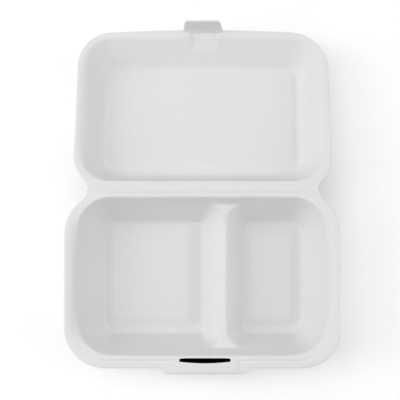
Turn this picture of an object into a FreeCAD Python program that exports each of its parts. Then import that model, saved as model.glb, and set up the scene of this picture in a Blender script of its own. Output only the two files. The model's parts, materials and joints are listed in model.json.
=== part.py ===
import FreeCAD, Part
import math
import os

# Foam clamshell food box with two compartments, lying open with its lid folded back.
# Millimetres. +X runs along the hinge, +Y from the tray to the lid, +Z up.
# The origin is on the underside of the tray, at the middle of its length and width.

# Foamed sheet
SHEET = 2.5
HINGE_SHEET = 1.2
REST_GAP = 0.3

# Tray
TRAY_WIDTH = 240.0
TRAY_LENGTH = 154.4
TRAY_DEPTH = 41.5
TRAY_CORNER = 36.5
TRAY_RIM_SIDE = 11.0
TRAY_RIM_FRONT = 11.5
TRAY_RIM_BACK = 5.5
TRAY_FLOOR_SIDE = 26.1
TRAY_FLOOR_FRONT = 26.0
TRAY_FLOOR_BACK = 22.2
TRAY_MOUTH_CORNER = 23.0
TRAY_FLOOR_CORNER = 15.0
TRAY_FLOOR_FILLET = 5.0

# Groove that runs around the tray's rim
GROOVE_INSET = 8.7
GROOVE_WIDTH = 1.2
GROOVE_DEPTH = 0.7

# Divider between the compartments, a hollow ridge open underneath
DIVIDER_LEFT_FOOT = -0.4
DIVIDER_CREST_LEFT = 18.6
DIVIDER_CREST_RIGHT = 22.0
DIVIDER_RIGHT_FOOT = 39.5
DIVIDER_BELOW_RIM = 17.0
DIVIDER_END_FILLET = 11.0

# Raised panels in the floors
PANEL_RISE = 3.0
PANEL_SLOPE = 8.0
PANEL_CORNER = 7.0
PANEL_BACK = 33.3
PANEL_FRONT = -40.0
LEFT_PANEL_X = (-82.6, -14.0)
RIGHT_PANEL_X = (50.5, 82.0)

# Latch flange on the tray's front edge, with the slit that takes the tongue
LATCH_X = 2.8
LATCH_BACK_WIDTH = 77.6
LATCH_FRONT_WIDTH = 70.6
LATCH_REACH = 5.5
LATCH_OVERLAP = 8.0
SLIT_LENGTH = 44.3
SLIT_WIDTH = 3.6
SLIT_BOW = 1.0
SLIT_BEHIND_EDGE = 6.6

# Hinge strip, thinned on both sides of the fold
HINGE_WIDTH = 200.0
HINGE_BAND = 3.3
HINGE_ROOT = 6.0

# Lid
LID_WIDTH = 226.4
LID_LENGTH = 147.9
LID_FAR_BOW = 1.7
LID_DEPTH = 24.0
LID_CORNER_NEAR = 26.0
LID_CORNER_FAR = 31.0
LID_RIM_SIDE = 7.8
LID_RIM_FAR = 6.0
LID_RIM_NEAR = 4.6
LID_GUTTER_SIDE = 24.5
LID_GUTTER_FAR = 21.0
LID_GUTTER_NEAR = 18.1
LID_MOUTH_CORNER = 20.0
LID_GUTTER_CORNER = 14.0
LID_FLOOR_FILLET = 4.0
LID_PANEL_RISE = 1.5
LID_PANEL_INSET = 5.6
LID_PANEL_SLOPE = 1.2

# Tongue on the lid's far edge and the finger pocket below it
TONGUE_THICKNESS = 1.5
TONGUE_ROOT_WIDTH = 37.6
TONGUE_TIP_WIDTH = 31.0
TONGUE_LENGTH = 13.0
TONGUE_TIP_CORNER = 5.0
POCKET_MOUTH_WIDTH = 23.6
POCKET_FOOT_WIDTH = 18.0
POCKET_DEPTH = 11.0

# Places worked out from the sizes above
TRAY_BACK = TRAY_LENGTH / 2
TRAY_FRONT = -TRAY_LENGTH / 2
RIM_TOP = SHEET + TRAY_DEPTH
AXIS_Y = TRAY_BACK + HINGE_BAND / 2
AXIS_Z = RIM_TOP + REST_GAP / 2
CREST_Z = RIM_TOP - DIVIDER_BELOW_RIM
BELOW = 1.0


def rounded_outline(x_low, x_high, y_low, y_high, radius, z, back_radius=None, back_bow=0.0):
    """Closed wire of a rectangle with round corners, in a level plane.

    The two corners on the far side may have their own radius, and the side between them a bow.
    """
    back_radius = radius if back_radius is None else back_radius
    corners = (
        (x_high, y_low, -1, 1, radius),
        (x_high, y_high, -1, -1, back_radius),
        (x_low, y_high, 1, -1, back_radius),
        (x_low, y_low, 1, 1, radius),
    )
    arcs = []
    for index, (x, y, to_x, to_y, corner_radius) in enumerate(corners):
        offset = corner_radius * (1 - math.sqrt(0.5))
        along_x = FreeCAD.Vector(x + to_x * corner_radius, y, z)
        along_y = FreeCAD.Vector(x, y + to_y * corner_radius, z)
        middle = FreeCAD.Vector(x + to_x * offset, y + to_y * offset, z)
        ends = (along_x, along_y) if index % 2 == 0 else (along_y, along_x)
        arcs.append((ends[0], middle, ends[1]))
    edges = []
    for index, (start, middle, end) in enumerate(arcs):
        following = arcs[(index + 1) % len(arcs)][0]
        edges.append(Part.Arc(start, middle, end).toShape())
        if index == 1 and back_bow:
            crown = FreeCAD.Vector((x_low + x_high) / 2, y_high + back_bow, z)
            edges.append(Part.Arc(end, crown, following).toShape())
        else:
            edges.append(Part.LineSegment(end, following).toShape())
    return Part.Wire(edges)


def loft(wires):
    """Solid with straight sides through a stack of wires."""
    return Part.makeLoft(wires, True, True)


def slab(wire, height):
    """Solid of one wire pushed straight up."""
    return Part.Face(wire).extrude(FreeCAD.Vector(0, 0, height))


def polygon_wire(points):
    """Closed wire of straight edges through points."""
    return Part.makePolygon(list(points) + [points[0]])


def level_edges(shape, z):
    """Edges of a shape that lie in one level plane."""
    return [
        edge for edge in shape.Edges
        if abs(edge.BoundBox.ZMin - z) < 0.001 and abs(edge.BoundBox.ZMax - z) < 0.001
    ]


def divider_end_edges(space):
    """Slanted edges where the divider's slopes meet the front and back walls."""
    found = []
    for edge in space.Edges:
        box = edge.BoundBox
        slanted = box.ZMax - box.ZMin > (CREST_Z - SHEET) / 2
        between_feet = DIVIDER_LEFT_FOOT - 1 < box.Center.x < DIVIDER_RIGHT_FOOT + 1
        below_crest = box.ZMax < CREST_Z + 0.001
        if slanted and between_feet and below_crest:
            found.append(edge)
    return found


def tray_bowl(grow, top, bottom):
    """Tapered block of the tray's inside, grown sideways by the sheet for its outside."""
    half = TRAY_WIDTH / 2
    mouth = rounded_outline(
        -half + TRAY_RIM_SIDE - grow,
        half - TRAY_RIM_SIDE + grow,
        TRAY_FRONT + TRAY_RIM_FRONT - grow,
        TRAY_BACK - TRAY_RIM_BACK + grow,
        TRAY_MOUTH_CORNER + grow,
        top,
    )
    floor = rounded_outline(
        -half + TRAY_FLOOR_SIDE - grow,
        half - TRAY_FLOOR_SIDE + grow,
        TRAY_FRONT + TRAY_FLOOR_FRONT - grow,
        TRAY_BACK - TRAY_FLOOR_BACK + grow,
        TRAY_FLOOR_CORNER + grow,
        bottom,
    )
    return loft([mouth, floor])


def divider_block(inset, bottom):
    """Ridge between the compartments, right through the tray, shrunk by inset."""
    rise = CREST_Z - SHEET
    left_run = DIVIDER_CREST_LEFT - DIVIDER_LEFT_FOOT
    right_run = DIVIDER_RIGHT_FOOT - DIVIDER_CREST_RIGHT
    left_shift = inset * math.hypot(rise, left_run) / rise
    right_shift = inset * math.hypot(rise, right_run) / rise
    crest = CREST_Z - inset
    left_foot = DIVIDER_LEFT_FOOT + left_shift - (SHEET - bottom) * left_run / rise
    right_foot = DIVIDER_RIGHT_FOOT - right_shift + (SHEET - bottom) * right_run / rise
    left_crest = left_foot + (crest - bottom) * left_run / rise
    right_crest = right_foot - (crest - bottom) * right_run / rise
    section = polygon_wire([
        FreeCAD.Vector(left_foot, TRAY_FRONT, bottom),
        FreeCAD.Vector(right_foot, TRAY_FRONT, bottom),
        FreeCAD.Vector(right_crest, TRAY_FRONT, crest),
        FreeCAD.Vector(left_crest, TRAY_FRONT, crest),
    ])
    return Part.Face(section).extrude(FreeCAD.Vector(0, TRAY_LENGTH, 0))


def floor_panel(x_range, foot, top):
    """Low frustum of one raised panel, from a foot height to a top height."""
    def outline(out, z):
        return rounded_outline(
            x_range[0] - out,
            x_range[1] + out,
            PANEL_FRONT - out,
            PANEL_BACK + out,
            PANEL_CORNER + out,
            z,
        )
    return loft([outline(PANEL_SLOPE, foot - BELOW), outline(PANEL_SLOPE, foot), outline(0, top)])


def tray_inside():
    """Space inside the tray, with the divider left out and its floor edges rounded."""
    space = tray_bowl(0, RIM_TOP, SHEET)
    space = space.cut(divider_block(0, SHEET - BELOW))
    space = space.makeFillet(DIVIDER_END_FILLET, divider_end_edges(space))
    return space.makeFillet(TRAY_FLOOR_FILLET, level_edges(space, SHEET))


def tray_outside():
    """Outside of the tray's bowl, with the tunnel below the divider."""
    bowl = tray_bowl(SHEET, RIM_TOP, 0)
    bowl = bowl.makeFillet(TRAY_FLOOR_FILLET + SHEET, level_edges(bowl, 0))
    return bowl.cut(divider_block(SHEET, -BELOW))


def rim_groove():
    """Shallow groove around the rim, open at the hinge side."""
    half = TRAY_WIDTH / 2 - GROOVE_INSET
    floor = RIM_TOP - GROOVE_DEPTH
    outer = rounded_outline(
        -half,
        half,
        TRAY_FRONT + GROOVE_INSET,
        TRAY_BACK + TRAY_CORNER,
        TRAY_CORNER - GROOVE_INSET,
        floor,
    )
    inner = rounded_outline(
        -half + GROOVE_WIDTH,
        half - GROOVE_WIDTH,
        TRAY_FRONT + GROOVE_INSET + GROOVE_WIDTH,
        TRAY_BACK + TRAY_CORNER - GROOVE_WIDTH,
        TRAY_CORNER - GROOVE_INSET - GROOVE_WIDTH,
        floor,
    )
    ring = slab(outer, SHEET).cut(slab(inner, SHEET))
    front_part = Part.makeBox(
        TRAY_WIDTH,
        TRAY_LENGTH - TRAY_CORNER,
        SHEET,
        FreeCAD.Vector(-TRAY_WIDTH / 2, TRAY_FRONT, floor),
    )
    return ring.common(front_part)


def latch_flange():
    """Lip on the front edge that carries the slit."""
    back = LATCH_BACK_WIDTH / 2
    front = LATCH_FRONT_WIDTH / 2
    z = RIM_TOP - SHEET
    outline = polygon_wire([
        FreeCAD.Vector(LATCH_X - back, TRAY_FRONT + LATCH_OVERLAP, z),
        FreeCAD.Vector(LATCH_X - back, TRAY_FRONT, z),
        FreeCAD.Vector(LATCH_X - front, TRAY_FRONT - LATCH_REACH, z),
        FreeCAD.Vector(LATCH_X + front, TRAY_FRONT - LATCH_REACH, z),
        FreeCAD.Vector(LATCH_X + back, TRAY_FRONT, z),
        FreeCAD.Vector(LATCH_X + back, TRAY_FRONT + LATCH_OVERLAP, z),
    ])
    return slab(outline, SHEET)


def latch_slit():
    """Slit for the tongue: a flat back edge and a bowed front edge."""
    half = SLIT_LENGTH / 2
    back_y = TRAY_FRONT + SLIT_BEHIND_EDGE + SLIT_WIDTH / 2
    end_y = back_y - SLIT_WIDTH + SLIT_BOW
    z = RIM_TOP - SHEET - BELOW
    left_back = FreeCAD.Vector(LATCH_X - half, back_y, z)
    right_back = FreeCAD.Vector(LATCH_X + half, back_y, z)
    left_end = FreeCAD.Vector(LATCH_X - half, end_y, z)
    right_end = FreeCAD.Vector(LATCH_X + half, end_y, z)
    middle = FreeCAD.Vector(LATCH_X, back_y - SLIT_WIDTH, z)
    outline = Part.Wire([
        Part.LineSegment(left_back, left_end).toShape(),
        Part.Arc(left_end, middle, right_end).toShape(),
        Part.LineSegment(right_end, right_back).toShape(),
        Part.LineSegment(right_back, left_back).toShape(),
    ])
    return slab(outline, SHEET + 2 * BELOW)


def hinge_strip(y_low, y_high, top):
    """Thin strip of one side of the fold."""
    return Part.makeBox(
        HINGE_WIDTH,
        y_high - y_low,
        HINGE_SHEET,
        FreeCAD.Vector(-HINGE_WIDTH / 2, y_low, top - HINGE_SHEET),
    )


def make_tray():
    """Tray with its rim, divider, raised floor panels, latch flange and hinge strip."""
    half = TRAY_WIDTH / 2
    rim = slab(
        rounded_outline(-half, half, TRAY_FRONT, TRAY_BACK, TRAY_CORNER, RIM_TOP - SHEET),
        SHEET,
    )
    tray = rim.fuse(tray_outside())
    tray = tray.fuse(latch_flange())
    tray = tray.cut(tray_inside())
    for x_range in (LEFT_PANEL_X, RIGHT_PANEL_X):
        tray = tray.fuse(floor_panel(x_range, SHEET, SHEET + PANEL_RISE))
        tray = tray.cut(floor_panel(x_range, 0, PANEL_RISE))
    tray = tray.cut(rim_groove())
    tray = tray.cut(latch_slit())
    tray = tray.fuse(hinge_strip(TRAY_BACK - HINGE_ROOT, AXIS_Y - REST_GAP, RIM_TOP))
    return tray.removeSplitter()


def lid_outline(side, near, far, radius, z):
    """Rounded outline in the flat lid's own place, measured from its crease."""
    half = LID_WIDTH / 2
    return rounded_outline(-half + side, half - side, near, LID_LENGTH - far, radius, z)


def lid_bowl(grow, top, bottom):
    """Tapered block of the lid's inside, grown sideways by the sheet for its outside."""
    mouth = lid_outline(
        LID_RIM_SIDE - grow,
        LID_RIM_NEAR - grow,
        LID_RIM_FAR - grow,
        LID_MOUTH_CORNER + grow,
        top,
    )
    ledge = lid_outline(
        LID_GUTTER_SIDE - grow,
        LID_GUTTER_NEAR - grow,
        LID_GUTTER_FAR - grow,
        LID_GUTTER_CORNER + grow,
        bottom,
    )
    block = loft([mouth, ledge])
    return block.makeFillet(LID_FLOOR_FILLET + grow, level_edges(block, bottom))


def lid_panel(foot, top):
    """Low frustum of the lid's top panel, from a foot height to a top height."""
    def outline(inset, z):
        return lid_outline(
            LID_GUTTER_SIDE + inset,
            LID_GUTTER_NEAR + inset,
            LID_GUTTER_FAR + inset,
            LID_GUTTER_CORNER - inset / 2,
            z,
        )
    foot_inset = LID_PANEL_INSET - LID_PANEL_SLOPE
    return loft([
        outline(foot_inset, foot - BELOW),
        outline(foot_inset, foot),
        outline(LID_PANEL_INSET, top),
    ])


def tongue():
    """Tongue that stands up from the far edge and goes into the tray's slit."""
    root = TONGUE_ROOT_WIDTH / 2
    tip = TONGUE_TIP_WIDTH / 2
    y = LID_LENGTH - TONGUE_THICKNESS
    foot_z = -SHEET
    waist_z = TONGUE_LENGTH / 3
    corner_z = TONGUE_LENGTH - TONGUE_TIP_CORNER
    bend = TONGUE_TIP_CORNER * (1 - math.sqrt(0.5))
    right_start = FreeCAD.Vector(tip, y, corner_z)
    right_bend = FreeCAD.Vector(tip - bend, y, TONGUE_LENGTH - bend)
    right_end = FreeCAD.Vector(tip - TONGUE_TIP_CORNER, y, TONGUE_LENGTH)
    left_end = FreeCAD.Vector(-tip + TONGUE_TIP_CORNER, y, TONGUE_LENGTH)
    left_bend = FreeCAD.Vector(-tip + bend, y, TONGUE_LENGTH - bend)
    left_start = FreeCAD.Vector(-tip, y, corner_z)
    lower = Part.makePolygon([
        left_start,
        FreeCAD.Vector(-tip, y, waist_z),
        FreeCAD.Vector(-root, y, 0),
        FreeCAD.Vector(-root, y, foot_z),
        FreeCAD.Vector(root, y, foot_z),
        FreeCAD.Vector(root, y, 0),
        FreeCAD.Vector(tip, y, waist_z),
        right_start,
    ])
    upper = [
        Part.Arc(right_start, right_bend, right_end).toShape(),
        Part.LineSegment(right_end, left_end).toShape(),
        Part.Arc(left_end, left_bend, left_start).toShape(),
    ]
    outline = Part.Wire(lower.Edges + upper)
    return Part.Face(outline).extrude(FreeCAD.Vector(0, TONGUE_THICKNESS, 0))


def pocket(grow):
    """Wedge of the finger pocket in the far wall, grown by the sheet for its outside."""
    far = LID_LENGTH - TONGUE_THICKNESS + grow
    wall_run = (LID_GUTTER_FAR - LID_RIM_FAR) / LID_DEPTH
    near = LID_LENGTH - LID_RIM_FAR - POCKET_DEPTH * wall_run - SHEET
    mouth = POCKET_MOUTH_WIDTH / 2 + grow
    foot = POCKET_FOOT_WIDTH / 2 + grow
    top = 0.0
    bottom = -POCKET_DEPTH - grow
    upper = polygon_wire([
        FreeCAD.Vector(-mouth, near, top),
        FreeCAD.Vector(mouth, near, top),
        FreeCAD.Vector(mouth, far, top),
        FreeCAD.Vector(-mouth, far, top),
    ])
    lower = polygon_wire([
        FreeCAD.Vector(-foot, near, bottom),
        FreeCAD.Vector(foot, near, bottom),
        FreeCAD.Vector(foot, far - POCKET_DEPTH * wall_run / 2, bottom),
        FreeCAD.Vector(-foot, far - POCKET_DEPTH * wall_run / 2, bottom),
    ])
    return loft([lower, upper])


def lid_tilt():
    """Angle by which the open lid falls back until the round foot of its far wall rests."""
    radius = LID_FLOOR_FILLET + SHEET
    wall_lean = math.atan2(LID_GUTTER_FAR - LID_RIM_FAR, LID_DEPTH + SHEET)
    foot = LID_LENGTH - LID_GUTTER_FAR + SHEET
    centre_reach = foot - radius / math.tan((math.pi / 2 + wall_lean) / 2) + HINGE_BAND / 2
    centre_drop = LID_DEPTH + SHEET - radius + REST_GAP / 2
    fall = AXIS_Z - REST_GAP - radius
    slope = math.asin(fall / math.hypot(centre_reach, centre_drop))
    return math.degrees(slope - math.atan2(centre_drop, centre_reach))


def make_lid():
    """Lid with its top panel, tongue, finger pocket and hinge strip, folded back."""
    half = LID_WIDTH / 2
    rim = rounded_outline(
        -half,
        half,
        0,
        LID_LENGTH,
        LID_CORNER_NEAR,
        -SHEET,
        LID_CORNER_FAR,
        LID_FAR_BOW,
    )
    lid = slab(rim, SHEET)
    lid = lid.fuse(lid_bowl(SHEET, 0, -LID_DEPTH - SHEET))
    lid = lid.fuse(pocket(SHEET))
    lid = lid.fuse(tongue())
    lid = lid.cut(lid_bowl(0, 0, -LID_DEPTH))
    lid = lid.cut(pocket(0))
    lid = lid.fuse(lid_panel(-LID_DEPTH, -LID_DEPTH + LID_PANEL_RISE))
    lid = lid.cut(lid_panel(-LID_DEPTH - SHEET, -LID_DEPTH - SHEET + LID_PANEL_RISE))
    lid = lid.fuse(hinge_strip(REST_GAP - HINGE_BAND / 2, HINGE_ROOT, 0))
    lid = lid.removeSplitter()
    lid.translate(FreeCAD.Vector(0, AXIS_Y + HINGE_BAND / 2, RIM_TOP))
    lid.rotate(FreeCAD.Vector(0, AXIS_Y, AXIS_Z), FreeCAD.Vector(1, 0, 0), -lid_tilt())
    return lid


os.makedirs("parts", exist_ok=True)
make_tray().exportStep("parts/tray.step")
make_lid().exportStep("parts/lid.step")
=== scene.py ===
"""A foam clamshell food box, open with its lid folded back: the looks that go over its CAD model.

The script works in millimetres. The settings, the meshes, the materials and the studio are in metres.
"""
import json
import math

import bpy
import numpy as np
from bpy.props import FloatProperty, FloatVectorProperty, PointerProperty
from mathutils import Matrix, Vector


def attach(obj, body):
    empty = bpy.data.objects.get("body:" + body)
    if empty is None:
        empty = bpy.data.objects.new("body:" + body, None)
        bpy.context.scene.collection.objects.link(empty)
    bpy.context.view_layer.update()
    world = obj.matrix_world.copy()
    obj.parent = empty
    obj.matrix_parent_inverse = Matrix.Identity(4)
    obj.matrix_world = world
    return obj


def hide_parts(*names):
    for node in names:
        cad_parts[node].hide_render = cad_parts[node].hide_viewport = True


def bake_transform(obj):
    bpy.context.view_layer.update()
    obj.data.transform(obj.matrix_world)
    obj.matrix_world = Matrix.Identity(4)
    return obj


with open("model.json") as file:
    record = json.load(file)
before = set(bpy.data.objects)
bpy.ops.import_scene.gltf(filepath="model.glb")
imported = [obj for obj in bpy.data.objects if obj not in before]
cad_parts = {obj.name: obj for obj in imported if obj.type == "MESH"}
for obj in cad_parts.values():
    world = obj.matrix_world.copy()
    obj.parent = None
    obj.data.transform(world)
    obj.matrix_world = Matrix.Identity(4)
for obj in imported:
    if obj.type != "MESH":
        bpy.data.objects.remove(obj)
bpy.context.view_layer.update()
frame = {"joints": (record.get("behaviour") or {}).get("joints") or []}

bl_info = {
    "name": "Foam clamshell food box",
    "version": (1, 0, 0),
    "blender": (4, 5, 0),
    "location": "3D View > Sidebar > Foam Box",
    "description": "Builds a two-compartment foam food box with a hinged lid",
    "category": "Add Mesh",
}

MM = 0.001

# The studio, in metres, with its two heights of lights in degrees
DOME_RADIUS = 1.7
LIGHT_SIZE = 0.9
LOW = 27
HIGH = 55
SKY_STRENGTH = 0.27
FLOOR_HALF = 3.0

# The photograph's camera: its focal length and axis in pixels, and its place over the tray
IMAGE_PIXELS = 400
FOCAL_PIXELS = 491.7
AXIS_PIXEL = (231.5, 274.0)
CAMERA_PLACE = (25.8, 1.1)
CAMERA_ABOVE_RIM = 426.4
CAMERA_PITCH = 0.009
SENSOR_WIDTH = 36.0

# The foamed sheet. Where an edge is bowed or drawn out, the sheet follows as far in as EDGE_REACH
SHEET = 2.5
RIM_TOP = 44.0
EDGE_REACH = 5.0

# The hinge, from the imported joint, and how far the open lid is tilted from flat
HINGE = next(joint for joint in frame["joints"] if joint["name"] == "lid_hinge")
AXIS_Y = HINGE["pos_m"][1] / MM
AXIS_Z = HINGE["pos_m"][2] / MM
CLOSED_ANGLE = HINGE["range_deg"][1]
LID_TILT = math.radians(CLOSED_ANGLE - 180.0)

# The thin strip between tray and lid. Its crease fades out over CREASE_ENDS, counted from its ends
HINGE_BAND = 3.3
HINGE_OVERLAP = 1.2
HINGE_SUNK = 0.04
HINGE_UNDERSIDE = 1.75
HINGE_WAIST = 0.9
HINGE_TUCK = 0.2
CREASE_DEPTH = 0.75
CREASE_HALF_WIDTH = 0.8
CREASE_ENDS = (13.0, 6.0)
HINGE_ROWS = 25
HINGE_COLUMNS = 121

# The neck, where the edges of tray and lid are drawn out to the strip. Past its ends they fall back
# NECK_FALL times as fast as they run on
NECK_X = 1.2
NECK_HALF = 101.0
NECK_END = 1.5
NECK_FALL = 5.0
NECK_ZONE = 12.0

# The tray, with its middle at the origin. Its side rims widen over TRAY_RIM_TURN, counted from its ends
TRAY_WIDTH = 240.0
TRAY_LENGTH = 154.4
TRAY_CORNERS = {"front_right": 32.5, "back_right": 36.5, "back_left": 39.0, "front_left": 36.5}
TRAY_DEPTH = RIM_TOP - SHEET
TRAY_RIM = {"left": 8.7, "right": 8.7, "front": 11.5, "back": 5.5}
TRAY_FLOOR = {"left": 24.5, "right": 26.1, "front": 26.0, "back": 22.2}
TRAY_MOUTH_CORNER = 30.5
TRAY_SIDE_RIM = 7.2
TRAY_CORNER_RIM = 10.8
TRAY_RIM_TURN = (66.0, 20.0)
TRAY_FLOOR_CORNER = 12.0
TRAY_FLOOR_BLEND = 5.5
TRAY_RIM_BLEND = 2.4
TRAY_CORE_INSET = 5.0
TRAY_CORE_CORNER = 8.0
TRAY_SIDE_ROLL = 3.0
FRONT_LIP_FALL = 0.2

# The roll of the side rims. It starts ROLL_START in from the edge and stops at ROLL_LIMIT of the rim's
# width; ROLL_ACROSS and ROLL_ALONG say where it sets in and fades, in shares of a corner's radius
ROLL_START = 1.2
ROLL_LIMIT = 1.5
ROLL_ACROSS = (1.3, 0.4)
ROLL_ALONG = (1.3, 0.5)
ROLL_LOST_IN_CORNER = 0.8

# The divider between the compartments. The floor's blend narrows over DIVIDER_MIDDLE, and the crest is
# blended in over DIVIDER_SURROUNDINGS, both across the tray
DIVIDER_LEFT_FOOT = -0.4
DIVIDER_CREST_LEFT = 18.3
DIVIDER_CREST_RIGHT = 21.4
DIVIDER_RIGHT_FOOT = 36.2
DIVIDER_FOOT_BLEND = 3.0
DIVIDER_CREST_BLEND = 1.6
DIVIDER_WALL_BLEND = 2.0
DIVIDER_TOP_BLEND = 2.2
DIVIDER_END_RISE = {"front": 3.0, "back": 5.6}
DIVIDER_END_START = 5.0
DIVIDER_END_REACH = 17.0
DIVIDER_END_RADIUS = 4.5
DIVIDER_END_LEAST = 1.0
DIVIDER_END_SPREAD = 0.5
DIVIDER_MIDDLE = (-30.0, -12.0, 46.0, 64.0)
DIVIDER_SURROUNDINGS = (-34.0, -22.0, 62.0, 74.0)

# The raised floor panels
PANEL_BLEND = 0.12
PANEL_FADE_UP_WALL = (1.0, 9.0)
PANEL_BACK = 38.0
PANEL_FRONT = -35.3
LEFT_PANEL = (-86.0, -16.5)
RIGHT_PANEL = (43.6, 80.6)
LEFT_PANEL_SLOPES = {"left": 9.2, "right": 13.0, "front": 9.2, "back": 18.0}
RIGHT_PANEL_SLOPES = {"left": 6.5, "right": 9.2, "front": 8.2, "back": 18.0}

# The groove and the bead on the tray's rim, which fade along the tray over GROOVE_FRONT and GROOVE_BACK,
# and across it over the two ENDS, counted from the middle in front and from the neck's ends behind
GROOVE_INSET = {"left": 9.6, "right": 9.6, "front": 6.6, "back": 0.5}
GROOVE_CORNER = 29.0
GROOVE_DEPTH = 0.85
GROOVE_DEPTH_AT_SIDES = 0.12
GROOVE_HALF_WIDTH = 0.95
GROOVE_FRONT = (-0.42 * TRAY_LENGTH, -0.30 * TRAY_LENGTH)
GROOVE_BACK = (0.40 * TRAY_LENGTH, 0.46 * TRAY_LENGTH)
GROOVE_BACK_ENDS = (22.0, 8.0)
GROOVE_FRONT_ENDS = (84.0, 100.0)
GROOVE_LOST_AT_ENDS = 0.65
BEAD_RISE = 0.28
BEAD_BEHIND_GROOVE = 2.5
BEAD_HALF_WIDTH = 1.2

# The latch on the tray's front edge. LATCH_FADE and LATCH_PAD_SPAN are distances in from that edge
LATCH_X = 2.3
LATCH_BACK_HALF = 39.3
LATCH_FRONT_HALF = 35.6
LATCH_REACH = 5.5
LATCH_FADE = (1.4, 4.6)
LATCH_PAD_X = 4.6
LATCH_PAD_HALF = 26.9
LATCH_PAD_RISE = 0.9
LATCH_PAD_RISE_BEHIND = 0.25
LATCH_PAD_SIDE_EASE = 0.9
LATCH_PAD_SPAN = (0.6 - LATCH_REACH, 2.4 - LATCH_REACH, 9.4, 10.6)
LATCH_PAD_STEP = 1.4

# The slit in the latch flange, and the closed pocket that hangs under it; the pocket's inside is painted
# shade
SLIT_X = 2.8
SLIT_BOW = 1.4
SLIT_BEHIND_EDGE = 7.0
SLIT_END_TURN = 0.5
SLIT_LINES = 33
SLIT_POCKET_DEPTH = 15.7
SLIT_POCKET_WALL = 1.2
SLIT_POCKET_TOP = 2.0
SLIT_LINING = 0.05
SLIT_LINING_RISE = 0.1
# Near-black painted shade for the pocket's inside, so that the slit looks as dark as deep shade
PAINTED_SLIT_SHADE_COLOR = (0.012, 0.012, 0.013)

# The lid, laid flat: across in X, from its crease outwards in Y, up from its rim in Z
LID_WIDTH = 226.4
LID_LENGTH = 146.9
LID_DEPTH = 24.0
LID_FAR_BOW = 2.3
LID_CORNERS = {"front_right": 23.5, "back_right": 35.0, "back_left": 31.0, "front_left": 29.0}
LID_RIM = {"left": 7.0, "right": 7.4, "front": 5.6, "back": 5.4}
LID_FLOOR = {"left": 21.0, "right": 23.7, "front": 23.3, "back": 22.7}
LID_MOUTH_CORNER = 25.0
LID_FLOOR_CORNER = 12.0
LID_FLOOR_BLEND = 4.5
LID_RIM_BLEND = 2.0
LID_SIDE_ROLL = 2.2
LID_NEAR_HOLLOW = 0.8
LID_HOLLOW_ENDS = (0.30 * LID_WIDTH, 0.42 * LID_WIDTH)
LID_PANEL_INSET = 7.4
LID_PANEL_BLEND = 0.2
LID_PANEL_SLOPES = {"left": 7.0, "right": 6.0, "front": 6.0, "back": 9.0}
LID_CORE_INSET = LID_PANEL_INSET + 1.0
LID_CORE_CORNER = LID_FLOOR_CORNER - LID_CORE_INSET / 2

# The tongue on the lid's far edge, with its mesh rows at the foot, on the stem and at the tip
TONGUE_THICKNESS = 1.5
TONGUE_ROOT_HALF = 18.3
TONGUE_TIP_HALF = 15.4
TONGUE_TIP_CORNER = 3.0
TONGUE_CORNER_SHARE = 0.9
TONGUE_BEHIND_EDGE = 0.9
TONGUE_SUNK = 1.6
TONGUE_FOOT = 3.0
TONGUE_ROOT = 0.9
TONGUE_EDGE_POWER = 14
TONGUE_THINNEST = 0.02
TONGUE_ROWS = (12, 14, 14)
TONGUE_STEM_START = 3.4
TONGUE_TIP_START = 0.1
TONGUE_COLUMNS = 45

# The finger pocket behind the tongue
POCKET_MOUTH_HALF = 12.2
POCKET_FOOT_HALF = 10.6
POCKET_DEPTH = 8.6
POCKET_BEHIND_ROOT = 0.6
POCKET_LEFT_BLEND = 5.0
POCKET_RIGHT_BLEND = 1.6
POCKET_RIM_BLEND = 1.2

# How many mesh lines each side and corner of a ring gets
LINES_ACROSS = 168
LINES_ALONG = 72
LINES_CORNER = 20

# Where the rings of each face lie: the first ones as insets from the edge, then stretches that each
# end at a share and have so many rings. Share 1 is the rim's inner edge, 2 the wall's foot and 3 the
# border of the grid that fills the middle
TRAY_UPPER_RINGS = {
    "edge": (0.0, 0.06, 0.25, 0.6, 1.1),
    "stretches": ((0.94, 21), (1.2, 9), (1.72, 9), (2.3, 10), (3.0, 6)),
}
TRAY_LOWER_RINGS = {
    "edge": (0.0, 0.1, 0.4, 1.1),
    "stretches": ((0.94, 6), (1.2, 5), (1.72, 6), (3.0, 12)),
}
LID_UPPER_RINGS = {
    "edge": (0.0, 0.06, 0.25, 0.6, 1.1),
    "stretches": ((0.9, 12), (1.2, 8), (1.75, 13), (2.2, 9), (3.0, 12)),
}
LID_LOWER_RINGS = {
    "edge": (0.0, 0.1, 0.4, 1.1),
    "stretches": ((0.9, 5), (1.2, 5), (1.75, 9), (2.2, 7), (3.0, 8)),
}

# Where the shading breaks at an edge
SHARP_ON_TRAY = math.radians(50)
SHARP_ON_POCKET = math.radians(40)

# The foam's finish: the texture scales, and how far they change colour, height and roughness
MOTTLE_SCALE = 240.0
SWAY_SCALE = 34.0
MOTTLE_IN_COLOR = 0.05
SWAY_IN_COLOR = 0.035
CELLS_IN_RELIEF = 0.55
MOTTLE_IN_RELIEF = 0.6
SWAY_IN_RELIEF = 3.0
RELIEF_DEPTH = 0.00022
ROUGHNESS = 0.72
MOTTLE_IN_ROUGHNESS = 0.2


def settings():
    """The sizes and colours that a user can change."""
    return bpy.context.scene.foam_box


def size(name):
    """One of the settings' sizes, in millimetres."""
    return getattr(settings(), name) / MM


# Heights and outlines


def smooth_max(first, second, width):
    """The larger of two heights, with the crease between them rounded off."""
    width = np.maximum(width, 1e-6)
    overlap = np.maximum(width - np.abs(first - second), 0.0) / width
    return np.maximum(first, second) + overlap * overlap * width / 4


def smooth_min(first, second, width):
    """The smaller of two heights, with the edge between them rounded off."""
    return -smooth_max(-first, -second, width)


def smooth_step(low, high, value):
    """0 below low and 1 above high, with an easy curve between."""
    share = np.clip((value - low) / (high - low), 0.0, 1.0)
    return share * share * (3 - 2 * share)


def smooth_window(value, marks):
    """Rises from 0 to 1 between the first two marks, and falls back between the last two."""
    return smooth_step(marks[0], marks[1], value) * (1 - smooth_step(marks[2], marks[3], value))


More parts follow.
